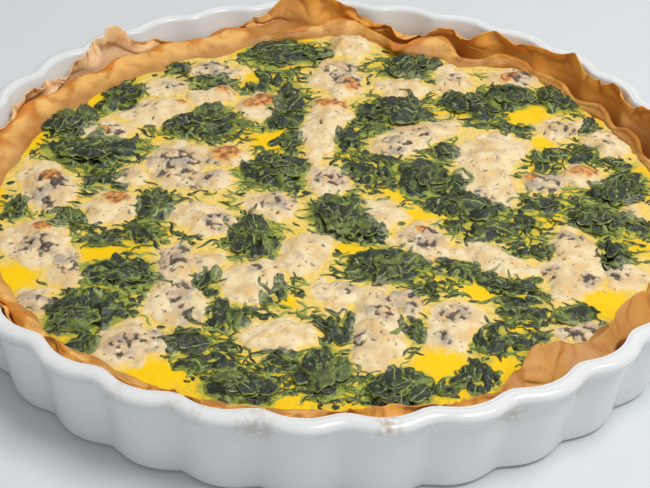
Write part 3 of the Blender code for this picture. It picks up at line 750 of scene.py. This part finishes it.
def crust_layers(points, height, outward, over_top, lumps, pale_side):
    """Where the pastry is browned and burnt, and where its foot by the custard is darkened, partly by soaking
    and partly as painted shade.
    """
    ridge = np.exp(-((over_top / (1.3 * MM)) ** 2)) * smoothstep(-4 * MM, 0, outward)
    outer_face = smoothstep(-5 * MM, -0.5 * MM, outward)
    baked = (0.15 + 0.55 * outer_face + 0.4 * ridge) * (1 - 0.5 * pale_side)
    baked = baked + 0.6 * field(points, 11, 12.0) + 0.3 * lumps / MM
    scorched = smoothstep(-0.3, 0.4, field(points, 14, 11.0))
    burnt = (0.35 + 0.5 * ridge) * outer_face * (1 - pale_side) * scorched
    # The foot's dark band is partly a soaked stain and partly painted shade where the pastry meets the
    # custard
    soaked_and_shaded = height - CUSTARD_TOP + 1.6 * MM * field(points, 7, 13.0)
    return {"baked": baked, "burnt": burnt, "soaked_and_shaded": smoothstep(4.0 * MM, 0.3 * MM, soaked_and_shaded)}


# Toppings

def disc_grid(cells):
    """A square grid pressed into the unit disc: radius, angle, the quads and the boundary loop."""
    side = np.linspace(-1, 1, cells + 1)
    u, v = np.meshgrid(side, side)
    across = np.abs(u) >= np.abs(v)
    radius = np.where(across, u, v)
    with np.errstate(divide="ignore", invalid="ignore"):
        angle = np.where(across, math.pi / 4 * v / u, math.pi / 2 - math.pi / 4 * u / v)
    angle = np.where(radius == 0, 0, angle)
    x = radius * np.cos(angle)
    y = radius * np.sin(angle)
    count = cells + 1
    return np.hypot(x, y), np.arctan2(y, x) % TURN, grid_faces(count, count, False), boundary(count, count)


def ring_value(values, angle):
    """Reads a ring of evenly spaced values at any angle."""
    place = angle / TURN * len(values)
    low = np.floor(place).astype(int) % len(values)
    share = place - np.floor(place)
    return values[low] * (1 - share) + values[(low + 1) % len(values)] * share


def plan(x, y):
    """Points on the table."""
    return np.stack([x, y, 0 * x], axis=-1)


def flat(points):
    """The points moved down to the table, so that noise read at them depends on the plan alone."""
    return points * np.array([1, 1, 0])


def stretched(points, turn, ratio=2.3):
    """Plan places squeezed along one direction, so that noise read at them is drawn out along it."""
    along = points[..., 0] * math.cos(turn) + points[..., 1] * math.sin(turn)
    across = points[..., 1] * math.cos(turn) - points[..., 0] * math.sin(turn)
    return plan(along / ratio, across)


def custard_level(points):
    """Height of the custard's gently swelling surface."""
    points = flat(points)
    level = CUSTARD_TOP - 0.25 * MM + 0.35 * MM * field(points, 14, 1.0)
    return level + 0.18 * MM * field(points, 4, 2.0)


def ragged(points):
    """Wander of the edges of everything that lies on the custard."""
    points = flat(points)
    return 3.3 * MM * field(points, 8, 12.0) + 1.5 * MM * field(points, 3.0, 13.0)


class Topping:
    """One piece of cheese or spinach: its middle, how far it reaches in each direction, and its height."""

    def __init__(self, kind, middle, reach, height, seed):
        self.kind = kind
        self.middle = middle
        self.reach = reach * 1.05 + SPREAD[kind]
        self.height = height
        self.seed = seed
        self.size = reach.mean()
        longest = np.argmax(reach + np.roll(reach, len(reach) // 2))
        self.turn = TURN * longest / len(reach)
        self.loose = False

    def polar(self, points):
        offset = points[..., :2] - self.middle
        return np.hypot(offset[..., 0], offset[..., 1]), np.arctan2(offset[..., 1], offset[..., 0]) % TURN

    def depth(self, points):
        """How far a point lies inside the ragged edge, negative outside."""
        distance, angle = self.polar(points)
        return (1 - distance / ring_value(self.reach, angle)) * self.size + ragged(points)

    def near(self, middle, reach):
        return math.hypot(*(self.middle - middle)) < self.reach.max() + reach

    def relief(self, points):
        """Height over the custard, and the layers for the material."""
        return self.cheese_relief(points) if self.kind == "cheese" else self.spinach_relief(points)

    def cheese_relief(self, points):
        depth = self.depth(points)
        points = flat(points)
        depth = depth + 0.9 * MM * field(points, 2.6, 74.0)
        inside = smoothstep(0, 1.5 * MM, depth)
        swell = 0.75 + 0.32 * field(points, 9, self.seed) + 0.12 * field(points, 4.0, self.seed + 1)
        height = 0.8 * self.height * smoothstep(-0.4 * MM, 0.8 * self.size, depth) ** 0.8 * swell
        zone = spot_layer(points, MOULD_SPOTS) * inside
        grain = field(points, 2.7, self.seed + 2) + 0.35 * field(points, 1.3, self.seed + 3)
        pits = smoothstep(0.0, 0.34, grain) * zone
        blue = smoothstep(0.05, 0.3, field(points, 4.6, self.seed + 4)) * zone
        baked = spot_layer(points, BAKED_SPOTS) * inside
        crumbs = 0.6 * MM * zone * field(points, 3, self.seed + 5) + 0.5 * MM * blue + 0.9 * MM * baked
        specks = smoothstep(0.44, 0.58, field(points, 2.1, self.seed + 9))
        pits = np.maximum(pits, 0.8 * inside * specks)
        height += crumbs - 0.8 * MM * pits
        height -= 0.9 * MM * smoothstep(0, 1.2 * MM, -depth)
        return height, {
            "film": 1 - smoothstep(0, 2.4 * MM, depth),
            "mould": pits,
            "blue": 0.8 * blue,
            "zone": zone,
            "baked": baked,
            "tone": 0.5 + 0.7 * field(points, 6, self.seed + 10),
        }

    def spinach_relief(self, points):
        torn = 2.2 * MM * field(stretched(points, 0.2, 1.8), 4.0, 71.0)
        torn = torn + 1.1 * MM * field(flat(points), 1.8, 72.0)
        holes = smoothstep(0.30, 0.50, field(flat(points), 5.5, 75.0))
        if self.loose:
            slits = field(stretched(points, self.turn + 0.3), 3.6, 76.0)
            holes = np.maximum(holes, smoothstep(0.05, 0.22, slits))
        depth = self.depth(points) + torn - 0.3 * MM - 0.9 * self.size * holes
        drawn = stretched(points, self.turn)
        folds = ridges(drawn, 3.4, self.seed)
        wrinkles = ridges(drawn, 1.5, self.seed + 4)
        swell = field(flat(points), 8, self.seed + 7)
        body = 0.30 + 0.70 * smoothstep(0, 0.6 * self.size, depth)
        height = self.height * body * (0.62 + 0.35 * swell)
        height = np.maximum(height + 1.2 * MM * (folds - 0.4) + 0.5 * MM * (wrinkles - 0.4), 0.3 * MM)
        height = height * smoothstep(-0.5 * MM, 0.4 * MM, depth) - 0.9 * MM * smoothstep(0, 0.9 * MM, -depth)
        return height, {
            # The edge layer is partly custard colour and partly painted light through the thin leaf edge
            "edge": 1 - smoothstep(0, 1.6 * MM, depth),
            "vein": ridges(stretched(points, self.turn + 0.6, 1.4), 4.5, self.seed + 20) ** 4,
            "tone": 0.38 + 0.75 * field(drawn, 2.6, self.seed + 11),
        }


def node_topping(name, seed):
    """A topping with the outline and height of its CAD node."""
    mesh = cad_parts[name].data
    corners = np.array([vertex.co for vertex in mesh.vertices])
    lowest = corners[:, 2].min()
    height = corners[:, 2].max() - lowest
    middle = corners[corners[:, 2] < lowest + 0.1 * MM].mean(axis=0)
    mesh.calc_loop_triangles()
    tree = bvhtree.BVHTree.FromPolygons(corners.tolist(), [list(t.vertices) for t in mesh.loop_triangles])
    start = Vector((middle[0], middle[1], lowest + 0.2 * height))
    reach = []
    for angle in around(OUTLINE_STEPS):
        hit = tree.ray_cast(start, Vector((math.cos(angle), math.sin(angle), 0)))
        reach.append(hit[3] if hit[0] is not None else 2 * MM)
    return Topping(name.split("_")[0], middle[:2], rounded_ring(np.array(reach)), height, seed)


def lobe_topping(kind, lobe, seed):
    """A low topping whose outline is one ellipse."""
    x, y, half_length, half_width, turn = lobe
    angle = around(OUTLINE_STEPS) - math.radians(turn)
    reach = half_length * half_width / np.hypot(half_width * np.cos(angle), half_length * np.sin(angle))
    topping = Topping(kind, np.array([x, y]) * MM, reach * MM, LOW_TOPPING_HEIGHT, seed)
    topping.loose = True
    return topping


def rounded_ring(values):
    """Evens out the corners of a ring of values."""
    for _ in range(3):
        values = 0.25 * np.roll(values, 1) + 0.5 * values + 0.25 * np.roll(values, -1)
    return values


def spot_layer(points, spots):
    """1 at the middle of each listed spot, fading to 0 at its ragged edge."""
    layer = np.zeros(points.shape[:-1])
    wander = ragged(points) * 0.6
    for x, y, radius in spots:
        away = np.hypot(points[..., 0] - x * MM, points[..., 1] - y * MM) + wander
        layer = np.maximum(layer, 1 - smoothstep(0.6, 1.35, away / (radius * MM)))
    return layer


def ground(points, toppings):
    """Highest surface under each point: the custard or what lies on it."""
    highest = np.zeros(points.shape[:-1])
    middle = points[..., :2].reshape(-1, 2).mean(axis=0)
    reach = np.abs(points[..., :2].reshape(-1, 2) - middle).max() * 1.5
    for topping in toppings:
        if topping.near(middle, reach):
            highest = np.maximum(highest, topping.relief(points)[0])
    return custard_level(points) + highest


def relief_part(topping, cell):
    """The topping's surface, closed underneath. Past its edge it dips below the custard."""
    cells = max(8, int(2 * (topping.size + TOPPING_MARGIN) / cell))
    share, angle, faces, loop = disc_grid(cells)
    distance = share * (ring_value(topping.reach, angle) + TOPPING_MARGIN)
    x, y = topping.middle
    points = plan(x + distance * np.cos(angle), y + distance * np.sin(angle))
    height, layers = topping.relief(points)
    points[..., 2] = custard_level(points) + height
    return closed_part(points, faces, loop, layers)


def leaf_sheet(centre, length, width, turn, toppings, seed, lift=0.35 * MM, bend=0.0):
    """One limp leaf that lies over the toppings, with a midrib, side veins and a frilled edge."""
    size = math.sqrt(length * width)
    cells = min(max(5, int(1.6 * size / TOPPING_CELL)), LEAF_CELLS)
    share, angle, faces, loop = disc_grid(cells)
    along = share * np.cos(angle)
    across = share * np.sin(angle) * (1 - 0.3 * along)
    side = width * across + bend * length * along**2
    x = centre[0] + length * along * math.cos(turn) - side * math.sin(turn)
    y = centre[1] + length * along * math.sin(turn) + side * math.cos(turn)
    points = plan(x, y)
    frill = field(points, 2.6, seed + 30)
    points[..., 0] += 0.28 * size * frill * share**2
    points[..., 1] += 0.28 * size * field(points, 2.6, seed + 31) * share**2
    under = ground(points, toppings)
    creases = ridges(stretched(points, turn + 0.9, 1.8), 3.2, seed + 32) - 0.4
    arch = 0.12 * width * (1 - across**2) * abs(math.cos(seed))
    tilt = 0.16 * width * across * math.sin(3 * seed)
    curl = 0.16 * size * share**3 * np.maximum(frill, -0.3)
    stiff = 0.5 * under + 0.5 * under.mean() + lift + arch + tilt
    crumple = (0.09 + 0.12 * abs(math.sin(5 * seed))) * size * creases
    points[..., 2] = np.maximum(stiff, under + 0.08 * MM) + curl + crumple
    rib = 1 - np.abs(across) / 0.12
    side_ribs = 0.7 * (1 - np.abs((along * 2.6 + np.abs(across) * 1.5) % 1.0 - 0.5) / 0.12)
    vein = np.clip(np.maximum(rib, side_ribs), 0, 1)
    tone = 0.34 + 0.34 * math.sin(7 * seed) + 0.5 * field(stretched(points, turn), 1.8, seed + 33)
    return points, faces, loop, {"edge": share**4, "vein": vein, "tone": tone}


def leaf_ribbon(start, length, width, turn, bend, toppings, seed, lift=0.3 * MM):
    """One narrow curving strip of leaf or stem, a little rolled, that lies over the toppings."""
    steps = max(6, int(length / (1.15 * MM)))
    along = np.linspace(0, 1, steps + 1)
    heading = turn + bend * (along - 0.5) + 0.5 * np.sin(TURN * along + seed)
    step = length / steps
    x = start[0] + step * (np.cumsum(np.cos(heading)) - math.cos(heading[0]))
    y = start[1] + step * (np.cumsum(np.sin(heading)) - math.sin(heading[0]))
    taper = np.clip(np.sin(math.pi * np.clip(along, 0.03, 0.97)), 0, 1) ** 0.45
    across = np.array([-1, 0, 1])
    half = (0.5 * width * taper * (1 + 0.25 * np.sin(9 * along + 2 * seed)))[:, None]
    aside = half * across
    heading = heading[:, None]
    points = plan(x[:, None] - aside * np.sin(heading), y[:, None] + aside * np.cos(heading))
    roll = 0.35 * half * across * math.sin(5 * seed)
    crown = 0.35 * half * (1 - across**2)
    wave = 0.12 * width * np.sin(11 * along + seed)[:, None]
    points[..., 2] = ground(points, toppings) + lift + roll + crown + wave
    is_stem = width < 1.1 * MM and math.sin(17 * seed) > 0.2
    layers = {
        "edge": np.abs(across) ** 3 * np.ones_like(aside),
        "vein": np.full(aside.shape, 0.9 if is_stem else 0.0),
        "tone": np.full(aside.shape, 0.5 + 0.45 * math.sin(13 * seed)),
    }
    return points, grid_faces(steps + 1, 3, False), boundary(steps + 1, 3), layers


def place_on(topping, angle, share):
    """The place that is a share of the way from a topping's middle to its edge."""
    distance = share * float(ring_value(topping.reach, np.array([angle]))[0])
    return topping.middle + distance * np.array([math.cos(angle), math.sin(angle)])


def clump_ribbons(topping, toppings, count):
    """Curving strips and stems over and round a clump, mostly drawn out the same way as it is."""
    draw = random.Random(int(topping.seed * 10) + 7)
    parts = []
    for ribbon in range(count):
        middle = place_on(topping, draw.uniform(0, TURN), draw.uniform(0.3, 1.15))
        length = draw.uniform(5, 14) * MM
        width = draw.uniform(0.7, 2.2) * MM
        turn = topping.turn + draw.gauss(0, 0.9) + draw.choice([0, math.pi])
        start = middle - 0.5 * length * np.array([math.cos(turn), math.sin(turn)])
        if max(np.hypot(*start), np.hypot(*(2 * middle - start))) > STRIPS_END:
            continue
        bend = draw.uniform(-1.6, 1.6)
        strip = leaf_ribbon(start, length, width, turn, bend, toppings, topping.seed + 2.3 * ribbon)
        parts.append(thin_part(*strip, STRIP_THICKNESS))
    return parts


def clump_leaves(topping, toppings, count):
    """Small limp leaves over a clump, mostly drawn out the same way as it is."""
    draw = random.Random(int(topping.seed * 10))
    parts = []
    for leaf in range(count):
        centre = place_on(topping, draw.uniform(0, TURN), 0.85 * math.sqrt(draw.random()))
        length = min(draw.uniform(2.5, 7.5) * MM, 0.8 * topping.size)
        width = length * draw.uniform(0.3, 0.7)
        turn = topping.turn + draw.gauss(0, 0.7)
        bend = draw.uniform(-0.35, 0.35)
        sheet = leaf_sheet(centre, length, width, turn, toppings, topping.seed + 3.1 * leaf, 0.3 * MM, bend)
        parts.append(thin_part(*sheet, LEAF_THICKNESS))
    return parts


def broad_leaves(topping, toppings):
    """Whole limp leaves that lie over a large clump."""
    draw = random.Random(int(topping.seed * 10) + 3)
    parts = []
    for leaf in range(int(topping.size / BROAD_LEAF_SPACE)):
        centre = place_on(topping, draw.uniform(0, TURN), 0.45 * math.sqrt(draw.random()))
        length = min(draw.uniform(0.55, 0.8) * topping.size, 12 * MM)
        width = length * draw.uniform(0.45, 0.7)
        turn = topping.turn + draw.gauss(0, 0.6)
        sheet = leaf_sheet(centre, length, width, turn, toppings, topping.seed + 5.7 * leaf, 0.5 * MM)
        parts.append(thin_part(*sheet, LEAF_THICKNESS))
    return parts


def closed_part(points, faces, loop, layers):
    """Closes a relief with one flat face under its boundary."""
    layers = {key: values.ravel() for key, values in layers.items()}
    return points.reshape(-1, 3), faces.tolist() + [loop[::-1].tolist()], layers


def thin_part(points, faces, loop, layers, thickness):
    """Closes a sheet with a second side just below it."""
    top = points.reshape(-1, 3)
    count = len(top)
    bottom = top - np.array([0, 0, thickness])
    after = np.roll(loop, -1)
    sides = np.stack([loop, after, after + count, loop + count], axis=-1)
    layers = {key: np.tile(values.ravel(), 2) for key, values in layers.items()}
    faces = np.concatenate([faces, faces[:, ::-1] + count, sides])
    return np.concatenate([top, bottom]), faces.tolist(), layers


def join_parts(parts):
    """One set of points, faces and layers from several."""
    points, faces, layers = [], [], {}
    start = 0
    for part_points, part_faces, part_layers in parts:
        points.append(part_points)
        faces += [[corner + start for corner in face] for face in part_faces]
        for key, values in part_layers.items():
            layers.setdefault(key, []).append(values)
        start += len(part_points)
    return np.concatenate(points), faces, {key: np.concatenate(values) for key, values in layers.items()}


def plan_toppings():
    """All toppings: those that replace a node, by its name, and the small ones of each kind."""
    names = [name for name in sorted(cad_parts) if name.startswith(("cheese_", "spinach_"))]
    own = {name: node_topping(name, 1.3 * number) for number, name in enumerate(names)}
    small = [lobe_topping("cheese", lobe, 90 + 1.3 * n) for n, lobe in enumerate(SMALL_CHEESE)]
    small += [lobe_topping("spinach", lobe, 120 + 1.7 * n) for n, lobe in enumerate(SMALL_SPINACH)]
    return own, small


def of_kind(toppings, kind):
    return [topping for topping in toppings if topping.kind == kind]


def milky(part, cheese):
    """Adds the layer of cheese that has melted over the nearest leaves."""
    points, faces, layers = part
    layers["milk"] = 0.8 * np.exp(-distance_outside(points, cheese) / (1.5 * MM))
    return points, faces, layers


def make_joined(name, parts, replaced, kind):
    """One piece of cheese or spinach from several parts."""
    points, faces, layers = join_parts(parts)
    make_piece(name, points, faces, [replaced], MATERIALS[kind], layers)


def make_toppings(own, small):
    everything = list(own.values()) + small
    cheese = of_kind(everything, "cheese")
    for name, topping in own.items():
        parts = [relief_part(topping, TOPPING_CELL)]
        if topping.kind == "cheese":
            make_joined(f"melted_{name}", parts, name, "cheese")
            continue
        parts += clump_leaves(topping, everything, 1 + int(topping.size / SMALL_LEAF_SPACE))
        parts += broad_leaves(topping, everything)
        parts += clump_ribbons(topping, everything, 2 + int(topping.size / STRIP_SPACE))
        make_joined(f"wilted_{name}", [milky(part, cheese) for part in parts], name, "spinach")
    parts = [relief_part(topping, SMALL_CHEESE_CELL) for topping in of_kind(small, "cheese")]
    make_joined("small_cheese", parts, "custard", "cheese")
    parts = []
    for topping in of_kind(small, "spinach"):
        parts.append(relief_part(topping, SMALL_SPINACH_CELL))
        parts += clump_leaves(topping, everything, 2) + clump_ribbons(topping, everything, 4)
    make_joined("small_spinach", [milky(part, cheese) for part in parts], "custard", "spinach")


def distance_outside(points, toppings):
    """How far each point lies outside the nearest topping, 0 inside."""
    nearest = np.full(points.shape[:-1], 50 * MM)
    wander = ragged(points)
    for topping in toppings:
        distance, angle = topping.polar(points)
        outside = np.maximum(distance - ring_value(topping.reach, angle) - wander, 0)
        nearest = np.minimum(nearest, outside)
    return nearest


def make_custard(toppings):
    share, angle, faces, loop = disc_grid(CUSTARD_CELLS)
    rim = custard_radius(around(CUSTARD_RIM_STEPS)) + 1.2 * MM
    points = polar(share * ring_value(rim, angle), angle, 0)
    spinach = of_kind(toppings, "spinach")
    clumps = distance_outside(points, [topping for topping in spinach if not topping.loose])
    scraps = distance_outside(points, [topping for topping in spinach if topping.loose])
    green = np.maximum(np.exp(-clumps / (3.0 * MM)), 0.55 * np.exp(-scraps / (2.0 * MM)))
    bare = spot_layer(points, BARE_CUSTARD)
    cream = np.exp(-distance_outside(points, of_kind(toppings, "cheese")) / (5.5 * MM))
    pores = 0.35 * MM * smoothstep(0.42, 0.6, field(points, 1.9, 3.0))
    points[..., 2] = custard_level(points) - pores
    points = points.reshape(-1, 3)
    bottom = points[loop] * ((CUSTARD_RADIUS - 5 * MM) / CUSTARD_RADIUS)
    bottom[:, 2] = CUSTARD_BOTTOM
    below = np.arange(len(loop)) + len(points)
    sides = np.stack([loop, np.roll(loop, -1), np.roll(below, -1), below], axis=-1)
    layers = {"green": green * (1 - 0.5 * bare), "cream": cream, "bare": bare}
    layers = {key: np.concatenate([values.ravel(), np.zeros(len(loop))]) for key, values in layers.items()}
    faces = faces.tolist() + sides.tolist() + [below.tolist()]
    points = np.concatenate([points, bottom])
    make_piece("custard_top", points, faces, ["custard"], MATERIALS["custard"], layers)


def make_shreds(toppings):
    """Curving strips and small scraps of leaf on the free custard, thickest near the spinach."""
    draw = random.Random(5)
    spinach = of_kind(toppings, "spinach")
    cheese = of_kind(toppings, "cheese")
    parts = []
    while len(parts) < SHREDS:
        radius = SHREDS_END * math.sqrt(draw.random())
        angle = draw.uniform(0, TURN)
        centre = np.array([radius * math.cos(angle), radius * math.sin(angle)])
        strip = draw.random() < 0.7
        length = draw.uniform(3.5, 12) * MM if strip else draw.uniform(0.7, 2.2) * MM
        width = draw.uniform(0.5, 1.5) * MM if strip else length * draw.uniform(0.4, 0.9)
        turn = draw.gauss(0, 0.7) + draw.choice([0, math.pi])
        bend = draw.uniform(-1.8, 1.8)
        keep = draw.random()
        seed = draw.uniform(0, 90)
        spot = np.array([[*centre, 0.0]])
        leaf_away = distance_outside(spot, spinach)[0]
        bare = any(math.hypot(centre[0] - x * MM, centre[1] - y * MM) < r * MM for x, y, r in BARE_CUSTARD)
        edge = float(custard_radius(np.array([angle]))[0]) - 0.5 * length - 1.5 * MM
        crowding = 0.35 + 0.65 * math.exp(-leaf_away / (4 * MM))
        if bare or radius > edge or keep > crowding or leaf_away < 0.1 * MM:
            continue
        if distance_outside(spot, cheese)[0] <= 0.3 * MM:
            continue
        if strip:
            start = centre - 0.5 * length * np.array([math.cos(turn), math.sin(turn)])
            sheet = leaf_ribbon(start, length, width, turn, bend, [], seed)
        else:
            sheet = leaf_sheet(centre, length, width, turn, [], seed, 0.05 * MM, 0.2 * bend)
        parts.append(milky(thin_part(*sheet, SHRED_THICKNESS), cheese))
    make_joined("leaf_shreds", parts, "custard", "spinach")


# Stage

def make_stage():
    bpy.ops.mesh.primitive_plane_add(size=6)
    floor = bpy.context.object
    floor.name = "floor"
    material = bpy.data.materials.new("pale_floor")
    material.use_nodes = True
    surface = material.node_tree.nodes["Principled BSDF"]
    surface.inputs["Base Color"].default_value = (0.66, 0.70, 0.73, 1)
    surface.inputs["Roughness"].default_value = 0.7
    floor.data.materials.append(material)


def make_light(name, place, target, size, power, colour):
    data = bpy.data.lights.new(name, "AREA")
    data.shape = "RECTANGLE"
    data.size, data.size_y = size
    data.energy = power
    data.color = colour
    light = bpy.data.objects.new(name, data)
    light.location = place
    light.rotation_euler = (Vector(target) - Vector(place)).to_track_quat("-Z", "Y").to_euler()
    bpy.context.scene.collection.objects.link(light)


def make_lights():
    world = bpy.data.worlds.new("studio")
    world.use_nodes = True
    background = world.node_tree.nodes["Background"]
    background.inputs["Color"].default_value = (1.0, 0.985, 0.96, 1)
    background.inputs["Strength"].default_value = 0.40
    bpy.context.scene.world = world
    make_light("key", (0.45, -0.22, 1.12), (0, 0, 0), (0.6, 0.6), 10.9, (1, 0.99, 0.97))
    make_light("fill", (0.3, 0.9, 0.8), (0, 0, 0.02), (0.7, 0.7), 1.5, (1, 1, 1))
    make_light("front", (0.1, -1.2, 0.4), (0, 0, 0.02), (0.8, 0.5), 1.0, (0.97, 0.99, 1))


def make_camera():
    data = bpy.data.cameras.new("camera")
    data.sensor_width = SENSOR_WIDTH
    data.lens = FOCAL_PIXELS / PHOTO_WIDTH * SENSOR_WIDTH
    data.clip_start = 0.01
    camera = bpy.data.objects.new("camera", data)
    bpy.context.scene.collection.objects.link(camera)
    place = Vector((0, -math.cos(CAMERA_ELEVATION), math.sin(CAMERA_ELEVATION))) * CAMERA_DISTANCE
    aim = (-place).to_track_quat("-Z", "Y").to_matrix()
    pan = Matrix.Rotation(CAMERA_PAN, 3, "Y")
    tilt = Matrix.Rotation(CAMERA_TILT, 3, "X")
    roll = Matrix.Rotation(-CAMERA_ROLL, 3, "Z")
    camera.matrix_world = Matrix.Translation(place) @ (aim @ pan @ tilt @ roll).to_4x4()
    bpy.context.scene.camera = camera
    bpy.context.scene.view_settings.view_transform = "Standard"


make_camera()
make_lights()
make_stage()
make_dish()
make_paper()
make_crust()
own_toppings, small_toppings = plan_toppings()
all_toppings = list(own_toppings.values()) + small_toppings
make_toppings(own_toppings, small_toppings)
make_custard(all_toppings)
make_shreds(all_toppings)
